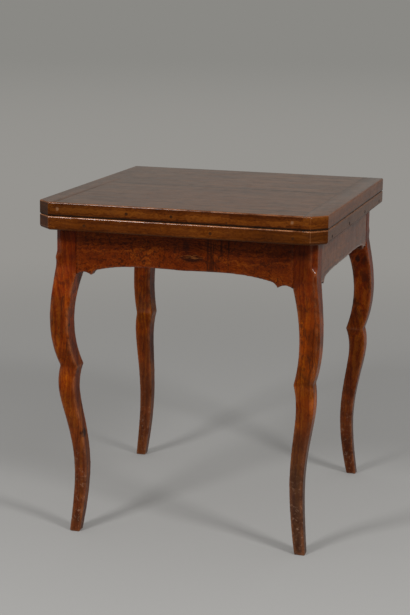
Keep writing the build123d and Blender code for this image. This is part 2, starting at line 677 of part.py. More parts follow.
post_room = []
for side in (-1, 1):
    for y_face, end in ((FRAME_FRONT, -1), (FRAME_REAR, 1)):
        x0, x1 = sorted((side * (HALF_W - POST_W - FLOOR_JOINT), side * (HALF_W + OVERRUN)))
        y0, y1 = sorted((y_face + end * OVERRUN, y_face - end * (POST_W + FLOOR_JOINT)))
        post_room.append(block(x0, x1, y0, y1, FLOOR_LOW - OVERRUN, FLOOR_TOP + OVERRUN))
board_w = INNER_W * 2 / FLOOR_BOARDS
for number in range(FLOOR_BOARDS):
    x0 = -INNER_W + number * board_w + FLOOR_JOINT / 2
    x1 = x0 + board_w - FLOOR_JOINT
    y0 = INNER_FRONT + FLOOR_JOINT
    y1 = INNER_REAR - FLOOR_JOINT
    board = block(x0, x1, y0, y1, FLOOR_LOW, FLOOR_TOP)
    PIECES["well_floor_board_" + str(number + 1)] = cut(board, post_room)

half = BEARER_W / 2
bearer = block(PIVOT_X - half, PIVOT_X + half, INNER_FRONT, INNER_REAR, BEARER_LOW, FRAME_TOP)
for stub in bearer_stubs(0):
    bearer = bearer + stub
bush_r = PIVOT_R + BUSH_WALL
PIECES["pivot_bearer"] = bearer - pivot_bar(bush_r + GLUE_LINE, BEARER_LOW - OVERRUN, FRAME_TOP + OVERRUN)
PIECES["pivot_bush"] = pivot_bar(bush_r, BEARER_LOW, FRAME_TOP) - through


# Put the origin under the middle of the whole table and write one file a node
def gathered(piece):
    items = piece if isinstance(piece, list) else [piece]
    solids = [solid for item in items for solid in item.solids()]
    return solids[0] if len(solids) == 1 else Compound(solids)


SHAPES = {name: gathered(piece) for name, piece in PIECES.items()}
boxes = [shape.bounding_box() for shape in SHAPES.values()]
MIDDLE_X = (min(b.min.X for b in boxes) + max(b.max.X for b in boxes)) / 2
MIDDLE_Y = (min(b.min.Y for b in boxes) + max(b.max.Y for b in boxes)) / 2
shift = Pos(-MIDDLE_X, -MIDDLE_Y, 0)
for name, shape in SHAPES.items():
    export_step(shift * shape, "parts/" + name + ".step")
print("nodes", len(SHAPES))
print("moved by", round(-MIDDLE_X, 4), round(-MIDDLE_Y, 4))
print("turn axis", round(PIVOT_X - MIDDLE_X, 4), round(PIVOT_Y - MIDDLE_Y, 4))
print("fold axis", round(TOP_D / 2 - MIDDLE_Y, 4), round(PARTING_Z, 4))
foot_in = FOOT_W / 2 - FOOT_SWELL
foot_x = -HALF_W + foot_in + FRONT_LEFT_CREEP[0] - MIDDLE_X
foot_y = FRAME_FRONT + foot_in + FRONT_LEFT_CREEP[1] - MIDDLE_Y
print("front left foot", round(foot_x, 3), round(foot_y, 3))
print("well x", round(-INNER_W - MIDDLE_X, 3), round(PIVOT_X - BEARER_W / 2 - MIDDLE_X, 3))
print("well y", round(INNER_FRONT - MIDDLE_Y, 3), round(BATTEN_Y0 - MIDDLE_Y, 3), "z", FLOOR_TOP, LOWER_LOW)
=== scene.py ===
# The games table in the order it was put together, in metres, with the floor at zero.
import math

import bpy
import numpy as np
from mathutils import Matrix, Vector


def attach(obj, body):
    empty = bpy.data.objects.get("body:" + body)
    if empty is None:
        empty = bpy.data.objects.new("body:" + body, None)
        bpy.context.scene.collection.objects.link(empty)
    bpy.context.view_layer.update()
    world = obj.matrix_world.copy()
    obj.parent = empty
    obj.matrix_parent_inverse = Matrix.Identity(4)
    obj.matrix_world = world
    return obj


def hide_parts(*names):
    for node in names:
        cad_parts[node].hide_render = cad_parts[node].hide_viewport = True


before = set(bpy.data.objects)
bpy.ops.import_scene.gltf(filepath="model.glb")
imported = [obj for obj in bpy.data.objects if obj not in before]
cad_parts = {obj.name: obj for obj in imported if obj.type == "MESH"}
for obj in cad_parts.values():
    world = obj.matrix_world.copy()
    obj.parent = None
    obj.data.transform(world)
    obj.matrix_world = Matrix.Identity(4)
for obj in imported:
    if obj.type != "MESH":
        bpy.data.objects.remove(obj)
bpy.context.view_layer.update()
bpy.ops.object.select_all(action="DESELECT")

# Four legs, each sawn and rasped from one square of walnut, with a cusp at the knee and a cut corner
# beside the frieze that ends in a carved stop. Long use has rubbed the arrises, and wet floors
# have darkened the feet.
CELL = 0.0018


def take(node, name):
    """A merged copy of one solid, ready to be worked on, with nothing else selected."""
    piece = bpy.data.objects.new(name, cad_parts[node].data.copy())
    bpy.context.scene.collection.objects.link(piece)
    piece.data.materials.clear()
    bpy.ops.object.select_all(action="DESELECT")
    bpy.context.view_layer.objects.active = piece
    piece.select_set(True)
    bpy.ops.object.mode_set(mode="EDIT")
    bpy.ops.mesh.select_all(action="SELECT")
    bpy.ops.mesh.remove_doubles(threshold=0.000002)
    bpy.ops.object.mode_set(mode="OBJECT")
    return piece


def rasp(piece, cell, passes, wave, lump):
    """Works the wood over by hand: the arrises go soft and the faces gently uneven."""
    bpy.ops.object.modifier_add(type="REMESH")
    skin = piece.modifiers[-1]
    skin.mode = "VOXEL"
    skin.voxel_size = cell
    bpy.ops.object.modifier_apply(modifier=skin.name)
    bpy.ops.object.modifier_add(type="SMOOTH")
    rub = piece.modifiers[-1]
    rub.factor = 0.5
    rub.iterations = passes
    bpy.ops.object.modifier_apply(modifier=rub.name)
    hills = bpy.data.textures.new(piece.name + "_tool_marks", "CLOUDS")
    hills.noise_scale = lump
    hills.noise_depth = 1
    bpy.ops.object.modifier_add(type="DISPLACE")
    marks = piece.modifiers[-1]
    marks.texture = hills
    marks.texture_coords = "LOCAL"
    marks.strength = wave
    marks.mid_level = 0.75  # so most of the marks go inwards
    bpy.ops.object.modifier_apply(modifier=marks.name)
    bpy.ops.object.shade_smooth()


def feel(piece, reach, full):
    """Writes where the surface stands proud, as at an arris, and where it lies in a hollow. It is
    set against itself smoothed reach times, and the mark is whole where they are full apart."""
    mesh = piece.data
    count = len(mesh.vertices)
    place = np.empty(count * 3)
    mesh.vertices.foreach_get("co", place)
    place = place.reshape(-1, 3)
    normal = np.empty(count * 3)
    mesh.vertices.foreach_get("normal", normal)
    normal = normal.reshape(-1, 3)
    ends = np.empty(len(mesh.edges) * 2, np.int32)
    mesh.edges.foreach_get("vertices", ends)
    ends = ends.reshape(-1, 2)
    near = np.bincount(ends.ravel(), minlength=count)

    def spread(values):
        total = np.zeros(count)
        total += np.bincount(ends[:, 0], weights=values[ends[:, 1]], minlength=count)
        total += np.bincount(ends[:, 1], weights=values[ends[:, 0]], minlength=count)
        return (values + total / near) / 2

    soft = place.copy()
    for _ in range(reach):
        soft = np.stack([spread(soft[:, axis]) for axis in range(3)], axis=1)
    proud = ((place - soft) * normal).sum(axis=1) / full
    for name, values in (("arris", np.clip(proud, 0, 1)), ("nook", np.clip(-proud, 0, 1))):
        values = spread(spread(values))
        mark = mesh.attributes.new(name, "FLOAT", "POINT")
        mark.data.foreach_set("value", values.astype(np.float32))


def stain(red, green, blue):
    """A colour from 0 to 255, as a screen shows it, turned into the shader's own linear values."""
    linear = []
    for value in (red, green, blue):
        share = value / 255
        linear.append(share / 12.92 if share <= 0.04045 else ((share + 0.055) / 1.055) ** 2.4)
    return (*linear, 1.0)


def put(tree, kind, sockets=None, **settings):
    """Adds one shader node. A socket given for a socket is linked, anything else is its value."""
    node = tree.nodes.new(kind)
    for name, value in settings.items():
        setattr(node, name, value)
    for name, value in (sockets or {}).items():
        if isinstance(value, bpy.types.NodeSocket):
            tree.links.new(value, node.inputs[name])
        else:
            node.inputs[name].default_value = value
    return node


def start_group(name, inputs, outputs):
    """A node group: the group, what its inputs give, and the node that takes its results."""
    group = bpy.data.node_groups.new(name, "ShaderNodeTree")
    for label, kind, value in inputs:
        socket = group.interface.new_socket(name=label, in_out="INPUT", socket_type=kind)
        socket.default_value = value
    for label, kind in outputs:
        group.interface.new_socket(name=label, in_out="OUTPUT", socket_type=kind)
    return group, group.nodes.new("NodeGroupInput").outputs, group.nodes.new("NodeGroupOutput")


def maths(tree, operation, first, second=0.0, clamp=False):
    """One sum. Each of the two numbers is a socket or a plain number."""
    node = put(tree, "ShaderNodeMath", {0: first, 1: second}, operation=operation, use_clamp=clamp)
    return node.outputs[0]


def times(tree, first, second, clamp=False):
    return maths(tree, "MULTIPLY", first, second, clamp)


def centred(tree, value):
    """A cloud's value, moved so that its middle is 0."""
    return maths(tree, "SUBTRACT", value, 0.5)


def vectors(tree, operation, first, second):
    return put(tree, "ShaderNodeVectorMath", {0: first, 1: second}, operation=operation).outputs[0]


def scaled(tree, vector, share):
    return put(tree, "ShaderNodeVectorMath", {0: vector, "Scale": share}, operation="SCALE").outputs[0]


def length(tree, vector):
    return put(tree, "ShaderNodeVectorMath", {0: vector}, operation="LENGTH").outputs["Value"]


def parts_of(tree, vector):
    return put(tree, "ShaderNodeSeparateXYZ", {0: vector}).outputs


def between(tree, value, low, high, low_to=0.0, high_to=1.0):
    """0 at low and 1 at high, with a soft step between. Low may be the greater of the two."""
    step = put(tree, "ShaderNodeMapRange",
               {"Value": value, "From Min": low, "From Max": high, "To Min": low_to, "To Max": high_to},
               interpolation_type="SMOOTHSTEP")
    return step.outputs["Result"]


def tint(tree, share, first, second):
    """The first colour, with a share from 0 to 1 of the second laid over it."""
    return put(tree, "ShaderNodeMix", {0: share, 6: first, 7: second}, data_type="RGBA").outputs[2]


def cloud(tree, vector, detail=3.0, rough=0.5, twist=0.0, scale=1.0):
    """Soft random patches, scale to a unit, with smaller ones in them for each step of detail."""
    numbers = {"Vector": vector, "Scale": scale, "Detail": detail, "Roughness": rough, "Distortion": twist}
    return put(tree, "ShaderNodeTexNoise", numbers).outputs


def stretch(tree, vector, along, across):
    """A place in a pattern's own units, which are drawn out along the grain."""
    return vectors(tree, "MULTIPLY", vector, (along, across, across))


# Solid walnut: growth rings about a pith, which wander along the grain and turn round a knot, with
# fibres, open pores and the curl that a fruitwood or root cut shows. It works in millimetres, with
# the grain along its first number.
MM = 1000.0
HALF = (0.5, 0.5, 0.5)
MOST_CURL = 26.0
COMMON_PITH = (0, -60, -90)
NO_KNOT = (0, 0, 9000)  # too far off to turn any ring
figure, given, made = start_group(
    "walnut_figure",
    [("Place", "NodeSocketVector", (0, 0, 0)), ("Pith", "NodeSocketVector", COMMON_PITH),
     ("Ring", "NodeSocketFloat", 5.0), ("Wander", "NodeSocketFloat", 14.0),
     ("Curl", "NodeSocketFloat", 0.4), ("Curl Scale", "NodeSocketFloat", 1.0),
     ("Knot", "NodeSocketVector", NO_KNOT), ("Knot Size", "NodeSocketFloat", 10.0),
     ("Dark", "NodeSocketColor", (0.02, 0.005, 0.001, 1)),
     ("Middle", "NodeSocketColor", (0.1, 0.03, 0.005, 1)),
     ("Pale", "NodeSocketColor", (0.2, 0.07, 0.015, 1))],
    [("Color", "NodeSocketColor"), ("Relief", "NodeSocketFloat")])
mm = scaled(figure, given["Place"], MM)
drift = cloud(figure, stretch(figure, mm, along=0.0045, across=0.014), detail=2.0)["Color"]
drift = vectors(figure, "SUBTRACT", drift, HALF)
drift = scaled(figure, drift, given["Wander"])
curl_place = scaled(figure, mm, given["Curl Scale"])
curl = cloud(figure, stretch(figure, curl_place, along=0.035, across=0.05), rough=0.55, twist=1.2)["Color"]
curl = vectors(figure, "SUBTRACT", curl, HALF)
curl_reach = maths(figure, "DIVIDE", times(figure, given["Curl"], MOST_CURL), given["Curl Scale"])
curl = scaled(figure, curl, curl_reach)
bent = vectors(figure, "ADD", mm, drift)
bent = vectors(figure, "ADD", bent, curl)
from_knot = stretch(figure, vectors(figure, "SUBTRACT", mm, given["Knot"]), along=0.45, across=1.0)
knot_share = maths(figure, "DIVIDE", length(figure, from_knot), given["Knot Size"])
push = maths(figure, "EXPONENT", times(figure, times(figure, knot_share, knot_share), -0.22))
push = times(figure, push, times(figure, given["Knot Size"], 1.6))
push_way = put(figure, "ShaderNodeVectorMath", {0: from_knot}, operation="NORMALIZE").outputs[0]
push_way = scaled(figure, push_way, push)
bent = vectors(figure, "SUBTRACT", bent, push_way)
from_pith = stretch(figure, vectors(figure, "SUBTRACT", bent, given["Pith"]), along=0.0, across=1.0)
year = maths(figure, "DIVIDE", length(figure, from_pith), given["Ring"])
bands = put(figure, "ShaderNodeTexNoise", {"W": year, "Scale": 0.55, "Detail": 3.0, "Roughness": 0.65},
            noise_dimensions="1D").outputs["Fac"]
late = maths(figure, "POWER", maths(figure, "FRACT", year), 5.0)
fibre = cloud(figure, stretch(figure, bent, along=0.03, across=0.85), detail=4.0, rough=0.62)["Fac"]
blotch = cloud(figure, stretch(figure, mm, along=0.008, across=0.017), twist=0.4)["Fac"]
eye_place = scaled(figure, bent, given["Curl Scale"])
eye_place = stretch(figure, eye_place, along=0.09, across=0.14)
eyes = cloud(figure, eye_place, detail=2.0, rough=0.6, twist=1.6)["Fac"]
eyes = times(figure, between(figure, eyes, 0.42, 0.68), given["Curl"])
pores = cloud(figure, stretch(figure, bent, along=0.13, across=2.1), detail=1.0)["Fac"]
pores = between(figure, pores, 0.60, 0.70)
tone = times(figure, bands, 0.62)
tone = maths(figure, "ADD", tone, times(figure, fibre, 0.26))
tone = maths(figure, "ADD", tone, times(figure, blotch, 0.40))
tone = maths(figure, "SUBTRACT", tone, times(figure, late, 0.10))
tone = maths(figure, "SUBTRACT", tone, times(figure, eyes, 0.22))
grain_colour = tint(figure, between(figure, tone, 0.37, 0.60), given["Dark"], given["Middle"])
grain_colour = tint(figure, between(figure, tone, 0.56, 0.80), grain_colour, given["Pale"])
heart = between(figure, knot_share, 1.05, 0.55)
heart_wood = scaled(figure, given["Dark"], 0.35)
grain_colour = tint(figure, times(figure, heart, 0.85), grain_colour, heart_wood)
pore_wood = scaled(figure, given["Dark"], 0.6)
grain_colour = tint(figure, times(figure, pores, 0.55), grain_colour, pore_wood)
relief = maths(figure, "SUBTRACT", times(figure, fibre, 0.5), times(figure, pores, 0.6))
for label, socket in (("Color", grain_colour), ("Relief", relief)):
    figure.links.new(socket, made.inputs[label])

# What use has done to the wood: arrises rubbed through to paler wood, grime left in the hollows and in
# patches, small dents, and wax that is glossy where hands go and dull where they do not. The grime colour
# also stands for painted shade on faces that look down where they are marked so, and on the leaves' arrises
# the paler wood is also a painted highlight.
handling, given, made = start_group(
    "long_handling",
    [("Place", "NodeSocketVector", (0, 0, 0)), ("Color", "NodeSocketColor", (0.1, 0.03, 0.005, 1)),
     ("Relief", "NodeSocketFloat", 0.0), ("Arris", "NodeSocketFloat", 0.0),
     ("Nook", "NodeSocketFloat", 0.0), ("Rubbed", "NodeSocketColor", (0.25, 0.1, 0.03, 1)),
     ("Grime And Shade", "NodeSocketColor", (0.01, 0.005, 0.003, 1)), ("Rub", "NodeSocketFloat", 0.6),
     ("Dirt And Shade", "NodeSocketFloat", 0.5), ("Dull", "NodeSocketFloat", 0.42),
     ("Waves", "NodeSocketFloat", 3.0)],
    [("Color", "NodeSocketColor"), ("Roughness", "NodeSocketFloat"), ("Polish", "NodeSocketFloat"),
     ("Height", "NodeSocketFloat")])
mm = scaled(handling, given["Place"], MM)
patch = cloud(handling, stretch(handling, mm, along=0.035, across=0.035), detail=4.0, rough=0.6)["Fac"]
speck = cloud(handling, stretch(handling, mm, along=0.35, across=0.35), rough=0.65)["Fac"]
broken = times(handling, between(handling, patch, 0.30, 0.62), between(handling, speck, 0.25, 0.55))
rubbed = times(handling, times(handling, given["Arris"], given["Rub"]), broken)
worn_colour = tint(handling, rubbed, given["Color"], given["Rubbed"])
deep = times(handling, given["Nook"], between(handling, speck, 0.2, 0.5))
loose = times(handling, between(handling, patch, 0.55, 0.80), between(handling, speck, 0.42, 0.72))
dirt_and_shade = times(handling, maths(handling, "MAXIMUM", deep, times(handling, loose, 0.6)), given["Dirt And Shade"])
worn_colour = tint(handling, dirt_and_shade, worn_colour, given["Grime And Shade"])
dent_place = stretch(handling, mm, along=0.028, across=0.028)
cells = put(handling, "ShaderNodeTexVoronoi", {"Vector": dent_place, "Scale": 1.0}).outputs
dent = between(handling, cells["Distance"], 0.085, 0.02)
chosen = put(handling, "ShaderNodeSeparateColor", {0: cells["Color"]}).outputs[0]
dent = times(handling, dent, maths(handling, "GREATER_THAN", chosen, 0.55))
dent_dirt = times(handling, dent, times(handling, given["Dirt And Shade"], 0.8))
worn_colour = tint(handling, dent_dirt, worn_colour, given["Grime And Shade"])
dull = maths(handling, "ADD", given["Dull"], times(handling, centred(handling, patch), 0.22))
dull = maths(handling, "SUBTRACT", dull, times(handling, given["Arris"], 0.10))
dull = maths(handling, "ADD", dull, times(handling, dirt_and_shade, 0.25), clamp=True)
scraped = cloud(handling, stretch(handling, mm, along=0.045, across=0.045), detail=1.0)["Fac"]
height = times(handling, scraped, given["Waves"])
height = maths(handling, "ADD", height, times(handling, given["Relief"], 0.35))
height = maths(handling, "SUBTRACT", height, times(handling, dent, 1.2))
polish = maths(handling, "MAXIMUM", given["Arris"], 0.05)
polish = times(handling, polish, between(handling, patch, 0.25, 0.60))
polish = times(handling, polish, maths(handling, "SUBTRACT", 1.0, dirt_and_shade), clamp=True)
for label, socket in (("Color", worn_colour), ("Roughness", dull), ("Polish", polish), ("Height", height)):
    handling.links.new(socket, made.inputs[label])


def grain_along(tree, place, axis):
    """Turns a place so that its first number runs along the grain."""
    if axis == "X":
        return place
    parts = parts_of(tree, place)
    order = {"Y": (1, 2, 0), "Z": (2, 0, 1)}[axis]
    return put(tree, "ShaderNodeCombineXYZ", {n: parts[order[n]] for n in range(3)}).outputs[0]


def walnut(name, axis, tones, rubbed, start=(0, 0, 0), pith=COMMON_PITH, ring=5.0, wander=14.0, curl=0.4,
           curl_scale=1.0, knot=NO_KNOT, knot_size=10.0, rub=0.6, dirt_and_shade=0.5, dull=0.34, waves=3.0,
           shine=0.06, haze=0.4, change=None):
    """One piece's own walnut, its grain along axis: tones are the dark, middle and pale of the wood,
    rubbed is its colour at worn arrises, and haze is the bloom of old wax, seen along the surface.
    change(tree, place, colour) adds what only that piece shows."""
    wood = bpy.data.materials.new(name)
    wood.use_nodes = True
    tree = wood.node_tree
    shader = tree.nodes["Principled BSDF"]
    place = put(tree, "ShaderNodeTexCoord").outputs["Object"]
    shifted = vectors(tree, "ADD", grain_along(tree, place, axis), start)
    grain = put(tree, "ShaderNodeGroup", node_tree=figure)
    tree.links.new(shifted, grain.inputs["Place"])
    dark, middle, pale = tones
    for label, value in (("Pith", pith), ("Ring", ring), ("Wander", wander), ("Curl", curl),
                         ("Curl Scale", curl_scale), ("Knot", knot), ("Knot Size", knot_size),
                         ("Dark", dark), ("Middle", middle), ("Pale", pale)):
        grain.inputs[label].default_value = value
    colour = grain.outputs["Color"]
    if change:
        colour = change(tree, place, colour)
    used = put(tree, "ShaderNodeGroup", node_tree=handling)
    arris = put(tree, "ShaderNodeAttribute", attribute_name="arris").outputs["Fac"]
    nook = put(tree, "ShaderNodeAttribute", attribute_name="nook").outputs["Fac"]
    for label, socket in (("Place", place), ("Color", colour), ("Relief", grain.outputs["Relief"]),
                          ("Arris", arris), ("Nook", nook)):
        tree.links.new(socket, used.inputs[label])
    for label, value in (("Rubbed", rubbed), ("Rub", rub), ("Dirt And Shade", dirt_and_shade), ("Dull", dull),
                         ("Waves", waves)):
        used.inputs[label].default_value = value
    tree.links.new(used.outputs["Color"], shader.inputs["Base Color"])
    tree.links.new(used.outputs["Roughness"], shader.inputs["Roughness"])
    tree.links.new(used.outputs["Polish"], shader.inputs["Coat Weight"])
    shader.inputs["Coat Roughness"].default_value = 0.22
    height = used.outputs["Height"]
    bump = put(tree, "ShaderNodeBump", {"Height": height, "Strength": 0.55, "Distance": 0.00012})
    tree.links.new(bump.outputs[0], shader.inputs["Normal"])
    shader.inputs["Specular IOR Level"].default_value = shine
    shader.inputs["Sheen Weight"].default_value = haze
    shader.inputs["Sheen Roughness"].default_value = 0.24
    shader.inputs["Sheen Tint"].default_value = (0.95, 0.89, 0.81, 1)
    return wood


def spot(tree, place, centre, size, soft=0.5):
    """1 inside an oval spot at centre, with the three half sizes in size, and 0 outside."""
    away = vectors(tree, "SUBTRACT", place, centre)
    away = vectors(tree, "MULTIPLY", away, tuple(1 / s for s in size))
    rag = cloud(tree, place, rough=0.6, scale=260.0)["Color"]
    rag = vectors(tree, "SUBTRACT", rag, HALF)
    rag = scaled(tree, rag, 0.9)
    away = vectors(tree, "ADD", away, rag)
    away = length(tree, away)
    return between(tree, away, 1.0, 1.0 - soft)


LEG_TOP = 0.671
FOOT_STAINED = (0.36, 0.12)
FOOT_SCUFFED = (0.27, 0.03)
KNEE_FROM, KNEE_TO = (0.33, 0.38), (0.48, 0.42)
BELLY_FROM, BELLY_TO = (0.38, 0.42), (0.60, 0.54)
RAMP_ROOM = 4  # a ramp's colours end at 1, so a stage is kept in it at a quarter


def leg_wear_and_light(stages, foot, spots):
    """What age did to one leg, at heights given as where an effect starts and where it is full. The stages
    are a share of the leg's height and what is left there of red, green and blue. They are partly the stain
    of age and partly painted light: painted highlight in the bands where the curved leg faces the lamps,
    and painted shade near its top, under the table top. The foot is greyer and scuffed, the belly blotched,
    and the knee streaked."""
    def change(tree, place, colour):
        height = parts_of(tree, place)["Z"]
        sway = cloud(tree, place, rough=0.6, twist=0.4, scale=26.0)["Fac"]
        lift = maths(tree, "DIVIDE", height, LEG_TOP)
        lift = maths(tree, "ADD", lift, times(tree, centred(tree, sway), 0.14))
        ramp = put(tree, "ShaderNodeValToRGB", {0: lift})
        while len(ramp.color_ramp.elements) < len(stages):
            ramp.color_ramp.elements.new(0.5)
        for point, (at, red, green, blue) in zip(ramp.color_ramp.elements, stages):
            point.position = at
            point.color = (red / RAMP_ROOM, green / RAMP_ROOM, blue / RAMP_ROOM, 1)
        colour = vectors(tree, "MULTIPLY", colour, ramp.outputs[0])
        broad = cloud(tree, place, twist=0.6, scale=21.0)["Fac"]
        broad = between(tree, broad, 0.36, 0.64, RAMP_ROOM * 0.75, RAMP_ROOM * 1.3)
        colour = scaled(tree, colour, broad)
        drawn = vectors(tree, "MULTIPLY", place, (1.0, 1.0, 0.5))
        worn = cloud(tree, drawn, detail=4.0, rough=0.62, twist=0.9, scale=62.0)["Fac"]
        shade, share = foot
        colour = tint(tree, times(tree, between(tree, height, *FOOT_STAINED), share), colour, shade)
        low = between(tree, height, *FOOT_SCUFFED)
        belly = times(tree, between(tree, height, *BELLY_FROM), between(tree, height, *BELLY_TO))
        blots = maths(tree, "ADD", 0.12, times(tree, maths(tree, "MAXIMUM", low, belly), 0.42))
        colour = tint(tree, times(tree, between(tree, worn, 0.51, 0.60), blots), colour, stain(48, 20, 8))
        drawn = vectors(tree, "MULTIPLY", place, (1.0, 1.0, 0.04))
        fine = cloud(tree, drawn, rough=0.6, scale=420.0)["Fac"]
        knee = times(tree, between(tree, height, *KNEE_FROM), between(tree, height, *KNEE_TO))
        drawn_share = maths(tree, "ADD", 0.1, times(tree, knee, 0.35))
        streaks = times(tree, between(tree, fine, 0.48, 0.66), drawn_share)
        colour = tint(tree, streaks, colour, stain(44, 20, 9))
        scuff = cloud(tree, place, detail=5.0, rough=0.7, twist=0.3, scale=150.0)["Fac"]
        scuffs = times(tree, between(tree, scuff, 0.55, 0.66), times(tree, low, 0.6))
        colour = tint(tree, scuffs, colour, stain(136, 104, 84))
        for centre, size in spots:
            knot = times(tree, spot(tree, place, centre, size), 0.85)
            colour = tint(tree, knot, colour, stain(34, 16, 10))
        return colour
    return change


LEG_TONES = (stain(66, 20, 1), stain(96, 34, 1), stain(122, 59, 4))
# The stage colours hold painted light as well as stain: lighter bands where each leg faces the lamps, and
# painted shade near its top. The rear right leg takes a darker copy of the rear stages.
left_stages = [
    (0.0, 0.8, 0.85, 1.2), (0.08, 0.85, 0.9, 1.2), (0.16, 1.15, 1.15, 1.3), (0.27, 1.3, 1.35, 1.5),
    (0.38, 1.15, 1.3, 1.7), (0.47, 1.22, 1.22, 0.95), (0.54, 1.15, 1.15, 0.9), (0.58, 1.05, 1.12, 1.3),
    (0.66, 0.95, 0.95, 0.9), (0.75, 1.06, 0.96, 0.7), (0.87, 1.0, 0.78, 0.6), (1.0, 0.8, 0.58, 0.4)]
right_stages = [
    (0.0, 0.6, 0.8, 1.2), (0.1, 0.65, 0.85, 1.3), (0.22, 0.85, 1.1, 1.8), (0.33, 0.95, 1.3, 2.4),
    (0.42, 1.15, 1.35, 1.7), (0.5, 1.4, 1.4, 1.0), (0.57, 1.2, 1.55, 1.8), (0.63, 1.45, 1.7, 1.0),
    (0.72, 1.2, 1.32, 0.8), (0.8, 0.75, 0.72, 0.7), (0.9, 0.76, 0.64, 0.5), (1.0, 0.72, 0.56, 0.4)]
rear_stages = [
    (0.0, 0.7, 0.85, 1.7), (0.12, 0.8, 0.95, 1.6), (0.3, 1.1, 1.25, 1.6), (0.5, 1.25, 1.35, 1.2),
    (0.58, 1.05, 1.2, 1.4), (0.7, 1.05, 1.0, 1.0), (0.88, 0.9, 0.82, 0.8), (1.0, 0.75, 0.62, 0.6)]
dark_stages = [(at, 0.88 * red, 0.78 * green, 0.7 * blue) for at, red, green, blue in rear_stages]
# Within these lines a frieze closes against the post, and no arris is rubbed.
POST_FROM = 0.575
POST_INNER_SIDE = 0.241
POST_INNER_END = {"front": 0.242, "rear": 0.274}
# For each leg: where its pattern starts, its pith and rings, its stages, what stains its foot and how
# much, and the middles and half sizes of its dark spots.
leg_facts = {
    "front_left": ((0.3, 0.02, 0.01), (0, -300, -330), 4.5, left_stages, (stain(68, 40, 26), 0.5),
                   [((-0.2235, -0.272, 0.220), (0.012, 0.017, 0.012)),
                    ((-0.248, -0.294, 0.462), (0.005, 0.008, 0.005))]),
    "front_right": ((1.1, 0.13, 0.05), (0, 210, -350), 5.5, right_stages, (stain(54, 38, 31), 0.75), []),
    "rear_left": ((2.2, -0.1, 0.08), (0, -210, 380), 5.0, rear_stages, (stain(88, 54, 38), 0.35), []),
    "rear_right": ((3.1, 0.05, -0.12), (0, 350, 230), 4.8, dark_stages, (stain(62, 38, 27), 0.4),
                   [((0.263, 0.279, 0.541), (0.008, 0.012, 0.011))]),
}
for corner, (start, pith, ring, stages, foot, spots) in leg_facts.items():
    leg = take("leg_" + corner, corner + "_leg")
    rasp(leg, cell=CELL, passes=2, wave=0.0005, lump=0.03)
    feel(leg, reach=14, full=0.0011)
    inner_end = POST_INNER_END[corner.split("_")[0]]
    for point, mark in zip(leg.data.vertices, leg.data.attributes["arris"].data):
        at_frieze = abs(point.co.x) < POST_INNER_SIDE or abs(point.co.y) < inner_end
        if point.co.z > POST_FROM and at_frieze:
            mark.value = 0.0
    wood = walnut(f"walnut_{corner}_leg", "Z", LEG_TONES, stain(150, 84, 34), start=start, pith=pith,
                  ring=ring, wander=22.0, curl=0.32, curl_scale=0.8, haze=0.12,
                  change=leg_wear_and_light(stages, foot, spots))
    leg.data.materials.append(wood)
    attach(leg, "frame")
    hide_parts("leg_" + corner)

# Four friezes, sawn to a scalloped lower edge and tenoned into the legs. They are cut from wild,
# curly wood, and the front one has a dark knot with a shake through it.
APRON_TONES = (stain(58, 15, 1), stain(98, 35, 1), stain(128, 60, 9))
# The side friezes are greyer and bluer: a painted haze of the light reflected along their faces.
SIDE_APRON_HAZED_TONES = (stain(50, 18, 7), stain(86, 38, 14), stain(114, 64, 26))
NO_WAX = 0.03


def mottled(tree, place, colour):
    """The small dark eyes of wild wood, thicker in some parts than in others."""
    eyes = cloud(tree, place, rough=0.65, twist=1.0, scale=125.0)["Fac"]
    thick = between(tree, cloud(tree, place, detail=2.0, scale=20.0)["Fac"], 0.38, 0.60, 0.3, 0.75)
    return tint(tree, times(tree, between(tree, eyes, 0.50, 0.62), thick), colour, stain(42, 14, 4))


FRIEZE_FACE = -0.285
COMB_FROM, COMB_TO = (0.043, 0.056), (0.114, 0.098)


def knot_shake(tree, place, colour):
    """Eyes, a knot with a pale wavy heart and a dark lower rim, the dark fan above it, the combed streaks
    to its right, and from there on darker towards the right end."""
    colour = mottled(tree, place, colour)
    fan = spot(tree, place, centre=(0.006, FRIEZE_FACE, 0.645), size=(0.013, 0.02, 0.021), soft=0.8)
    colour = tint(tree, times(tree, fan, 0.6), colour, stain(36, 14, 10))
    drawn = vectors(tree, "MULTIPLY", place, (1.0, 1.0, 0.06))
    comb = cloud(tree, drawn, rough=0.6, scale=150.0)["Fac"]
    across = parts_of(tree, place)["X"]
    combed = times(tree, between(tree, across, *COMB_FROM), between(tree, across, *COMB_TO))
    comb = times(tree, between(tree, comb, 0.48, 0.60), times(tree, combed, 0.75))
    colour = tint(tree, comb, colour, stain(36, 12, 4))
    darker_right = times(tree, between(tree, across, 0.04, 0.22), 0.3)
    colour = tint(tree, darker_right, colour, stain(46, 15, 3))
    knot = spot(tree, place, centre=(0.019, FRIEZE_FACE, 0.6215), size=(0.035, 0.02, 0.0100), soft=0.6)
    heart = spot(tree, place, centre=(0.016, FRIEZE_FACE, 0.6255), size=(0.031, 0.02, 0.0085), soft=0.6)
    rim = times(tree, knot, maths(tree, "SUBTRACT", 1.0, heart))
    colour = tint(tree, times(tree, rim, 0.8), colour, stain(38, 12, 5))
    wavy = cloud(tree, stretch(tree, place, along=42.0, across=330.0), detail=2.0, twist=1.4)["Fac"]
    heart = times(tree, heart, knot)
    pale = times(tree, heart, between(tree, wavy, 0.47, 0.40, high_to=0.5))
    colour = tint(tree, pale, colour, stain(150, 88, 40))
    dark = times(tree, heart, between(tree, wavy, 0.50, 0.58, high_to=0.9))
    return tint(tree, dark, colour, stain(22, 9, 5))


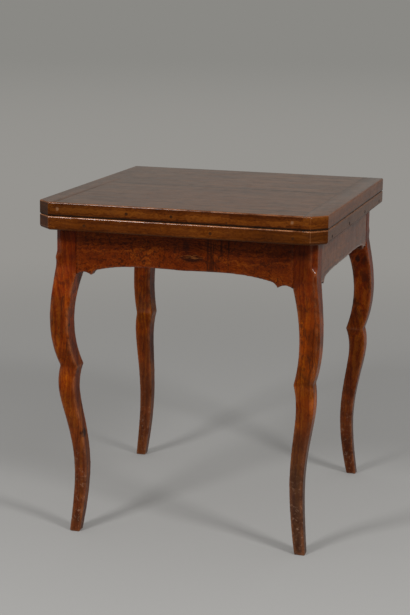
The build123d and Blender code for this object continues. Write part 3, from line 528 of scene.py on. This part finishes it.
# For each frieze: its grain, where its pattern starts, its pith, the knot and its size, the bloom of
# the wax, and what else it shows.
apron_facts = {
    "front": ("X", (0.4, 0.03, 0.0), (0, -420, 560), (420, -262, 621), 14.0, 0.25, knot_shake),
    "rear": ("X", (1.7, 0.11, 0.02), (0, 420, 480), NO_KNOT, 9.0, 0.7, mottled),
    "left": ("Y", (2.6, 0.07, 0.04), (0, 520, -350), NO_KNOT, 9.0, 0.7, mottled),
    "right": ("Y", (3.3, 0.05, 0.01), (0, 520, 200), NO_KNOT, 9.0, 0.7, mottled),
}
# The shoulders close against the posts, where no arris is rubbed.
SHOULDER_NEAR = 0.003
SHOULDER_GAP = 0.0015
WIDE_SHOULDERS = (-0.235, 0.235)
DEEP_SHOULDERS = (-0.2371, 0.2689)
for side, (axis, start, pith, knot, knot_size, haze, change) in apron_facts.items():
    apron = take("apron_" + side, side + "_frieze")
    rasp(apron, cell=CELL, passes=2, wave=0.0004, lump=0.04)
    feel(apron, reach=12, full=0.0011)
    tones, shoulders = (APRON_TONES, WIDE_SHOULDERS) if axis == "X" else (SIDE_APRON_HAZED_TONES, DEEP_SHOULDERS)
    near_end, far_end = shoulders
    way = "XYZ".index(axis)
    for point, mark in zip(apron.data.vertices, apron.data.attributes["arris"].data):
        past = max(near_end - point.co[way], point.co[way] - far_end) + SHOULDER_NEAR
        if past > 0:
            mark.value = 0.0
            point.co[way] += math.copysign(min(past * 0.5, SHOULDER_GAP), point.co[way])
    for coat, bloom in (("waxed", haze), ("unwaxed", NO_WAX)):
        wood = walnut(f"walnut_{side}_frieze_{coat}", axis, tones, stain(120, 62, 24), start=start,
                      pith=pith, wander=34.0, curl=0.65, curl_scale=1.5, knot=knot, knot_size=knot_size,
                      haze=bloom, change=change)
        apron.data.materials.append(wood)
    for face in apron.data.polygons:
        faces_down = face.normal.z < -0.2
        face.material_index = int(faces_down)
    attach(apron, "frame")
    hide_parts("apron_" + side)

# Sixteen round pegs of split wood, two through each tenon, driven from inside the posts and cut off
# flush. What shows of them in the well is dark end grain.
PEG_TONES = (stain(14, 7, 4), stain(26, 14, 8), stain(44, 25, 14))
peg_wood = walnut("peg_wood", "Z", PEG_TONES, stain(60, 36, 20), ring=1.2, curl=0.2, dull=0.85, shine=0.0,
                  haze=0.0)
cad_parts["draw_pegs"].data.materials[0] = peg_wood

# The well that holds the counters: three thin boards laid on two ledgers nailed inside the front
# and rear friezes. Plain sawn wood that never had a finish, dusty and a little stained.
INNER_TONES = (stain(84, 56, 32), stain(122, 88, 56), stain(148, 114, 78))
STRAIGHT_ON = 0.99
FACES_DOWN = -0.15
SIDE_WEAR = 0.3


def nowhere(place):
    return False


def trim(piece, least, width, wear_and_highlight=1.0, under_shade=1.0, hidden=nowhere, tight=nowhere):
    """Clears the flat faces of needless edges and takes the sharpness off the arrises longer than least.
    Front and rear ones are marked as worn, paler and glossier, which on the leaves is also a painted
    highlight, the rest less, and the ones that face down for painted shade, but none where hidden. Where
    the joint is tight the arris stays sharp."""
    bpy.ops.object.mode_set(mode="EDIT")
    bpy.ops.mesh.select_all(action="SELECT")
    bpy.ops.mesh.dissolve_limited(angle_limit=math.radians(0.4))
    bpy.ops.mesh.select_mode(type="EDGE")
    bpy.ops.mesh.select_all(action="DESELECT")
    bpy.ops.object.mode_set(mode="OBJECT")
    mesh = piece.data
    normals = {}
    for face in mesh.polygons:
        for key in face.edge_keys:
            normals.setdefault(key, []).append(face.normal.copy())
    for edge in mesh.edges:
        pair = normals[edge.key]
        first, second = (mesh.vertices[n].co for n in edge.vertices)
        sharp = len(pair) == 2 and pair[0].angle(pair[1], 0) > math.radians(50)
        edge.select = sharp and (first - second).length > least and not tight((first + second) / 2)
    bpy.ops.object.mode_set(mode="EDIT")
    bpy.ops.mesh.bevel(offset=width, offset_type="OFFSET", segments=2, profile=0.5, clamp_overlap=True)
    bpy.ops.object.mode_set(mode="OBJECT")
    bpy.ops.object.shade_smooth_by_angle(angle=math.radians(38))
    bpy.ops.object.modifier_add(type="WEIGHTED_NORMAL")
    flat = piece.modifiers[-1]
    flat.keep_sharp = True
    bpy.ops.object.modifier_apply(modifier=flat.name)
    worn = mesh.attributes.new("arris", "FLOAT", "FACE")
    shaded_under = mesh.attributes.new("nook", "FLOAT", "FACE")
    for number, face in enumerate(mesh.polygons):
        x, y, z = face.normal
        flat_face = max(abs(x), abs(y), abs(z)) > STRAIGHT_ON
        cut_corner = abs(z) < 0.05 and abs(abs(x) - abs(y)) < 0.05
        if flat_face or cut_corner or hidden(face.center):
            continue
        # Faces that look down are marked for painted shade.
        if z < FACES_DOWN:
            shaded_under.data[number].value = under_shade
        else:
            worn.data[number].value = wear_and_highlight if abs(z) > 0.1 and abs(y) > abs(x) else wear_and_highlight * SIDE_WEAR


def dusty(tree, place, colour):
    """Dust that lies in patches."""
    dust = cloud(tree, place, detail=4.0, rough=0.6, scale=14.0)["Fac"]
    return tint(tree, times(tree, between(tree, dust, 0.35, 0.75), 0.45), colour, stain(150, 128, 100))


inner_facts = {
    "well_floor_board_1": ("well_board_left", "Y", (0.2, 0.1, 0.0)),
    "well_floor_board_2": ("well_board_middle", "Y", (0.9, 0.4, 0.1)),
    "well_floor_board_3": ("well_board_right", "Y", (1.6, 0.2, 0.3)),
    "floor_ledger_front": ("front_ledger", "X", (2.1, 0.0, 0.2)),
    "floor_ledger_rear": ("rear_ledger", "X", (2.9, 0.3, 0.0)),
    "pivot_bearer": ("bearer", "Y", (3.5, 0.2, 0.2)),
}
for node, (name, axis, start) in inner_facts.items():
    piece = take(node, name)
    trim(piece, least=0.012, width=0.0007)
    wood = walnut("plain_wood_" + name, axis, INNER_TONES, stain(170, 140, 100), start=start, ring=3.2,
                  wander=10.0, curl=0.08, dirt_and_shade=0.7, dull=0.62, shine=0.3, haze=0.05, change=dusty)
    piece.data.materials.append(wood)
    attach(piece, "frame")
    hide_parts(node)


# Eight steel nails, driven through the ledgers into the front and rear friezes, heads left proud.
# They are dull, and rust has begun on them.
def old_metal(name, base, rust, rub, rough):
    """A metal with rust or tarnish over it in patches, and rubbed bright in specks."""
    metal = bpy.data.materials.new(name)
    metal.use_nodes = True
    tree = metal.node_tree
    shader = tree.nodes["Principled BSDF"]
    place = put(tree, "ShaderNodeTexCoord").outputs["Object"]
    scale = cloud(tree, place, detail=4.0, rough=0.65, scale=240.0)["Fac"]
    grit = cloud(tree, place, rough=0.6, scale=900.0)["Fac"]
    colour = tint(tree, between(tree, scale, 0.45, 0.70), base, rust)
    colour = tint(tree, between(tree, grit, 0.55, 0.80), colour, rub)
    tree.links.new(colour, shader.inputs["Base Color"])
    worn = maths(tree, "ADD", rough, times(tree, centred(tree, scale), 0.5), clamp=True)
    tree.links.new(worn, shader.inputs["Roughness"])
    tree.links.new(between(tree, scale, 0.78, 0.50), shader.inputs["Metallic"])
    bump = put(tree, "ShaderNodeBump", {"Height": grit, "Strength": 0.5, "Distance": 0.0001})
    tree.links.new(bump.outputs[0], shader.inputs["Normal"])
    return metal


old_steel = old_metal("old_steel", base=stain(140, 134, 124), rust=stain(104, 72, 50),
                      rub=stain(176, 170, 160), rough=0.42)
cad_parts["ledger_nails"].data.materials[0] = old_steel

# The two leaves of the top. Each is two boards tongued together, with a cleat across each end to keep it
# flat, pegged and cut off at the front corners. The upper face has faded and dulled in the light, and its
# greyer colour is also a painted haze of reflected light, while the edges, which hands touch, are warm and
# dark.
LEAF_TONES = (stain(54, 20, 1), stain(80, 36, 3), stain(106, 56, 11))
JOINT_Y = 0.0149
CLEAT_EDGE = 0.2625
SNUG = 0.003


def line(tree, value, at, half):
    """1 on a line where value is at, fading out over half."""
    off = maths(tree, "ABSOLUTE", maths(tree, "SUBTRACT", value, at))
    return between(tree, off, half, half * 0.25)


def at_a_cleat(place):
    return abs(abs(place.x) - CLEAT_EDGE) < SNUG


def at_a_joint(place):
    return at_a_cleat(place) or abs(place.y - JOINT_Y) < SNUG


HANDLED_END = (0.06, 0.24)
# Heights of the painted shade along the foot of the upper leaf, where the leaves part.
PARTING_SHADE = (0.7062, 0.7038)
NAIL_HOLES = ((-0.258, -0.336, 0.716), (0.241, -0.336, 0.716))
CLEAT_END = 0.3085
PEG_ROWS = (-0.2636, -0.0826, 0.0984, 0.2794)
PEG_HEIGHT = 0.6816


def leaf_look(upper, cleat):
    """Darker at the end that hands pull, with painted shade along the foot of the upper leaf where the
    leaves part, faded where it faces the light (which on the upper leaf's top is also a painted haze of
    reflected light), with stopped nail holes in the front edge, dark rings round the pegs, and dirty
    joints."""
    def change(tree, place, colour):
        parts = parts_of(tree, place)
        face = parts_of(tree, put(tree, "ShaderNodeTexCoord").outputs["Normal"])
        blotch = cloud(tree, place, detail=4.0, rough=0.6, twist=0.5, scale=22.0)["Fac"]
        long_way = (14.0, 1.6, 14.0) if cleat else (1.6, 14.0, 14.0)
        drawn = vectors(tree, "MULTIPLY", place, long_way)
        streak = cloud(tree, drawn, detail=5.0, rough=0.6, twist=0.2, scale=5.0)["Fac"]
        way = -1 if upper else 1
        outside = between(tree, face["Z"], way * 0.98, way * 0.9)
        handled = between(tree, parts["X"], *(way * x for x in HANDLED_END))
        handled = times(tree, handled, outside)
        colour = tint(tree, times(tree, handled, 0.32), colour, stain(44, 22, 1))
        left_cut = times(tree, between(tree, face["X"], -0.5, -0.65), between(tree, face["Y"], -0.5, -0.65))
        colour = tint(tree, times(tree, left_cut, 0.6), colour, stain(30, 19, 13))
        if upper:
            # Painted shade: a dark band along the foot of the upper leaf's edges, where the leaves part.
            ragged = maths(tree, "ADD", parts["Z"], times(tree, centred(tree, blotch), 0.003))
            parting_shade = times(tree, between(tree, ragged, *PARTING_SHADE), outside)
            colour = tint(tree, times(tree, parting_shade, 0.8), colour, stain(18, 9, 5))
            for centre in NAIL_HOLES:
                hole = spot(tree, place, centre, size=(0.004, 0.02, 0.005))
                colour = tint(tree, times(tree, hole, 0.45), colour, stain(140, 104, 74))
            # On the upper leaf's top the greyed colour is part fading and part painted haze of reflected
            # light; the cleats' darker pale is painted shade, set against the brighter sheen along their
            # grain.
            light = between(tree, face["Z"], 0.6, 0.95)
            pale = stain(86, 61, 43) if cleat else stain(99, 72, 51)
            greyed = tint(tree, between(tree, streak, 0.36, 0.64), stain(56, 39, 26), pale)
            faded_and_hazed = tint(tree, 0.55, colour, greyed)
            mottle = cloud(tree, place, detail=4.0, rough=0.6, twist=0.8, scale=34.0)["Fac"]
            faded_and_hazed = tint(tree, between(tree, mottle, 0.48, 0.66, high_to=0.45), faded_and_hazed, stain(34, 22, 12))
            vein = cloud(tree, drawn, detail=4.0, rough=0.65, twist=0.2, scale=2.4)["Fac"]
            faded_and_hazed = tint(tree, between(tree, vein, 0.50, 0.60, high_to=0.3), faded_and_hazed, stain(30, 19, 13))
            colour = tint(tree, times(tree, light, 0.9), colour, faded_and_hazed)
        else:
            for along in PEG_ROWS if cleat else ():
                for end in (-CLEAT_END, CLEAT_END):
                    ring = spot(tree, place, centre=(end, along, PEG_HEIGHT), size=(0.006, 0.007, 0.0055))
                    colour = tint(tree, times(tree, ring, 0.8), colour, stain(24, 12, 7))
            light = between(tree, face["Z"], -0.6, -0.95)
            colour = tint(tree, times(tree, light, 0.45), colour, stain(78, 52, 32))
        ragged = maths(tree, "ADD", parts["Y"], times(tree, centred(tree, blotch), 0.004))
        beside = times(tree, line(tree, ragged, JOINT_Y, half=0.012), 0.35)
        seam = maths(tree, "MAXIMUM", line(tree, ragged, JOINT_Y, half=0.0028), beside)
        from_middle = maths(tree, "ABSOLUTE", parts["X"])
        seam = times(tree, seam, between(tree, from_middle, CLEAT_EDGE + 0.002, CLEAT_EDGE))
        cross = line(tree, from_middle, CLEAT_EDGE, half=0.0016)
        cross = times(tree, cross, between(tree, maths(tree, "ABSOLUTE", face["Z"]), 0.3, 0.6))
        cross = times(tree, cross, between(tree, parts["X"], -0.25, 0.25, low_to=0.1, high_to=0.5))
        seams = times(tree, maths(tree, "MAXIMUM", seam, cross), between(tree, blotch, 0.1, 0.45))
        return tint(tree, seams, colour, stain(14, 9, 6))
    return change


# For each part of a leaf: its grain, where its pattern starts, its pith and its rings.
leaf_facts = {
    "front_board": ("X", (0.1, 0.0, 0.0), (0, -130, -240), 6.0),
    "rear_board": ("X", (0.7, 0.25, 0.0), (0, 500, -200), 6.5),
    "left_cleat": ("Y", (1.4, 0.1, 0.2), (0, -160, -300), 5.0),
    "right_cleat": ("Y", (2.2, 0.4, 0.1), (0, 240, 420), 5.0),
}
# The bloom of each coat: hands have left none on the edges, and less on the right cleats.
coats = {"waxed": 0.36, "unwaxed": NO_WAX}
right_coats = {**coats, "thinly_waxed": 0.28}
PATTERNS_APART = (5.3, 0.7, 0.0)
for number, leaf in enumerate(("lower_leaf", "upper_leaf")):
    for part, (axis, start, pith, ring) in leaf_facts.items():
        piece = take(f"{leaf}_{part}", f"{leaf}_{part}_worn")
        # The worn front arrises, most on the lower leaf, are also a painted highlight, and the upper leaf's
        # faces that look down take painted shade.
        trim(piece, least=0.02, width=0.0014, wear_and_highlight=1.0 - 0.5 * number, under_shade=number, hidden=at_a_joint,
             tight=at_a_cleat)
        own = tuple(at + number * apart for at, apart in zip(start, PATTERNS_APART))
        look = leaf_look(leaf == "upper_leaf", "cleat" in part)
        blooms = right_coats if part == "right_cleat" else coats
        for coat, haze in blooms.items():
            wood = walnut(f"walnut_{leaf}_{part}_{coat}", axis, LEAF_TONES, stain(168, 108, 64), start=own,
                          pith=pith, ring=ring, curl=0.5, rub=0.8, dirt_and_shade=0.9, waves=1.0, haze=haze,
                          change=look)
            piece.data.materials.append(wood)
        for face in piece.data.polygons:
            fingered = face.normal.y < -0.5 and abs(face.normal.z) < 0.1
            under_arris = -STRAIGHT_ON < face.normal.z < FACES_DOWN
            if fingered or under_arris:
                face.material_index = list(blooms).index("unwaxed")
            elif "thinly_waxed" in blooms and face.normal.z > 0.9:
                face.material_index = list(blooms).index("thinly_waxed")
        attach(piece, leaf)
        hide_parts(f"{leaf}_{part}")

# Round pegs through the cleats' tongues, driven from the ends, and plugs in the front edges that
# hide old holes. They are end grain: the pegs nearly black in the lower leaf and like the wood
# around them in the upper one, the plugs a dark brown.
like_leaf = walnut("peg_like_leaf", "X", LEAF_TONES, stain(140, 88, 40), curl=0.2, ring=1.5)
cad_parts["upper_leaf_cleat_pegs"].data.materials[0] = like_leaf
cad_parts["lower_leaf_cleat_pegs"].data.materials[0] = peg_wood
PLUG_TONES = (stain(34, 15, 5), stain(50, 25, 9), stain(68, 36, 14))
plug_wood = walnut("plug_wood", "Y", PLUG_TONES, stain(90, 52, 26), ring=1.2, curl=0.2, dull=0.6,
                   shine=0.03, haze=0.0)
for leaf in ("lower_leaf", "upper_leaf"):
    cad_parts[leaf + "_edge_plugs"].data.materials[0] = plug_wood

# Two brass hinges let into the rear edges of the leaves, which lie on each other when the table is
# shut. Each is two cast plates on a steel pin, held by six steel screws, and has gone brown.
old_brass = old_metal("old_brass", base=stain(150, 118, 62), rust=stain(92, 68, 38),
                      rub=stain(176, 146, 86), rough=0.5)
for side in ("left", "right"):
    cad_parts["lower_hinge_plate_" + side].data.materials[0] = old_brass
    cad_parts["upper_hinge_plate_" + side].data.materials[0] = old_brass
    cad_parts["hinge_pin_" + side].data.materials[0] = old_steel
for name in ("lower_hinge_screws", "upper_hinge_screws"):
    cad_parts[name].data.materials[0] = old_steel

# The pivot that the leaves turn on: a forged plate screwed under the lower leaf, whose stud runs
# through a bush in the bearer and is kept from below by a washer, a nut and a cotter. All of it is
# iron, black from the forge, but for four steel screws.
black_iron = old_metal("black_iron", base=stain(74, 70, 66), rust=stain(88, 52, 34),
                       rub=stain(120, 114, 106), rough=0.55)
for name in ("pivot_bush", "pivot_plate", "pivot_stud", "pivot_washer", "pivot_nut", "pivot_cotter"):
    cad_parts[name].data.materials[0] = black_iron
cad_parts["pivot_plate_screws"].data.materials[0] = old_steel

# The batten that stops the turn, a strip of plain wood held under the lower leaf by two screws. One
# of its ends meets the rear frieze when the table is shut, the other the bearer when it has turned.
batten = take("turn_stop_batten", "stop_batten")
trim(batten, least=0.012, width=0.001)
batten_wood = walnut("plain_wood_batten", "Y", INNER_TONES, stain(170, 140, 100), start=(4.1, 0.3, 0.5),
                     ring=3.0, curl=0.1, dirt_and_shade=0.7, dull=0.6, shine=0.3, haze=0.05, change=dusty)
batten.data.materials.append(batten_wood)
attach(batten, "lower_leaf")
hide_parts("turn_stop_batten")
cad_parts["turn_stop_screws"].data.materials[0] = old_steel

# The studio: a wide pale floor that runs out into the same grey all round, and two soft lamps in
# front, one to each side, as the two sets of shadows show.
PAPER = stain(158, 157, 155)
NEAR_AIR = stain(150, 148, 144)
FAR_AIR = stain(138, 137, 133)
FILL_LIGHT = (0.52, 0.52, 0.52, 1)
# How far from the middle the air greys, and the paper runs out into it.
AIR_GREYS = (5.0, 20.0)
PAPER_ENDS = (1.0, 3.4)
bpy.ops.mesh.primitive_circle_add(vertices=96, radius=45.0, fill_type="NGON", location=(0, 0, 0))
floor = bpy.context.active_object
floor.name = "studio_floor"
paper = bpy.data.materials.new("studio_paper")
paper.use_nodes = True
tree = paper.node_tree
matt = tree.nodes["Principled BSDF"]
matt.inputs["Base Color"].default_value = PAPER
matt.inputs["Roughness"].default_value = 0.9
matt.inputs["Specular IOR Level"].default_value = 0.0
where = put(tree, "ShaderNodeTexCoord").outputs["Object"]
away = length(tree, where)
air = tint(tree, between(tree, away, *AIR_GREYS), NEAR_AIR, FAR_AIR)
glow = put(tree, "ShaderNodeEmission", {"Color": air, "Strength": 1.0}).outputs[0]
# Even near the middle a sixth of the paper glows, painted light that lightens the shadows on it.
glow_share = between(tree, away, *PAPER_ENDS, low_to=0.16)
edge = put(tree, "ShaderNodeMixShader", {0: glow_share, 1: matt.outputs[0], 2: glow}).outputs[0]
tree.links.new(edge, tree.nodes["Material Output"].inputs["Surface"])
floor.data.materials.append(paper)

world = bpy.data.worlds.new("studio_air")
bpy.context.scene.world = world
world.use_nodes = True
tree = world.node_tree
fill = tree.nodes["Background"]
fill.inputs["Color"].default_value = FILL_LIGHT
seen = put(tree, "ShaderNodeBackground", {"Color": FAR_AIR, "Strength": 1.0}).outputs[0]
ray = put(tree, "ShaderNodeLightPath").outputs
mirrored = maths(tree, "MAXIMUM", ray["Is Glossy Ray"], ray["Is Transmission Ray"])
shown = maths(tree, "MAXIMUM", ray["Is Camera Ray"], mirrored)
both = put(tree, "ShaderNodeMixShader", {0: shown, 1: fill.outputs[0], 2: seen}).outputs[0]
tree.links.new(both, tree.nodes["World Output"].inputs["Surface"])

LAMP_AWAY = 3.2
LAMP_RISE = 35.0
aim = Vector((0, 0, 0.45))
for name, heading in (("lamp_left", 246.0), ("lamp_right", 328.0)):
    turn, rise = math.radians(heading), math.radians(LAMP_RISE)
    way = Vector((math.cos(turn) * math.cos(rise), math.sin(turn) * math.cos(rise), math.sin(rise)))
    bpy.ops.object.light_add(type="AREA", location=aim + LAMP_AWAY * way)
    lamp = bpy.context.active_object
    lamp.name = name
    lamp.data.shape = "SQUARE"
    lamp.data.size = 0.55
    lamp.data.energy = 50
    lamp.rotation_euler = way.to_track_quat("Z", "Y").to_euler()

# The camera stands where the photograph was taken from: a little to the right, just above the top.
# Its place was fitted in heights of the table, and its lens in pixels of the picture.
TABLE_HEIGHT = 0.73
SENSOR = 36.0
PICTURE_HEIGHT = 615
LENS_PIXELS = 1591.4
azimuth, rise, tilt = math.radians(15.923), math.radians(11.932), math.radians(0.877)
back = Vector((math.sin(azimuth) * math.cos(rise), -math.cos(azimuth) * math.cos(rise), math.sin(rise)))
right = Vector((math.cos(azimuth), math.sin(azimuth), 0))
up = back.cross(right)
across = math.cos(tilt) * right + math.sin(tilt) * up
upright = -math.sin(tilt) * right + math.cos(tilt) * up
from_middle = -0.0399 * right + 0.1279 * up + 4.9441 * back
stand = TABLE_HEIGHT * (Vector((0, 0, 0.5)) + from_middle) + Vector((0, -0.0061, 0))
bpy.ops.object.camera_add(location=stand)
camera = bpy.context.active_object
camera.rotation_euler = Matrix((across, upright, back)).transposed().to_euler()
camera.data.sensor_width = SENSOR
camera.data.lens = LENS_PIXELS / PICTURE_HEIGHT * SENSOR
bpy.context.scene.camera = camera
bpy.context.scene.view_settings.view_transform = "Standard"
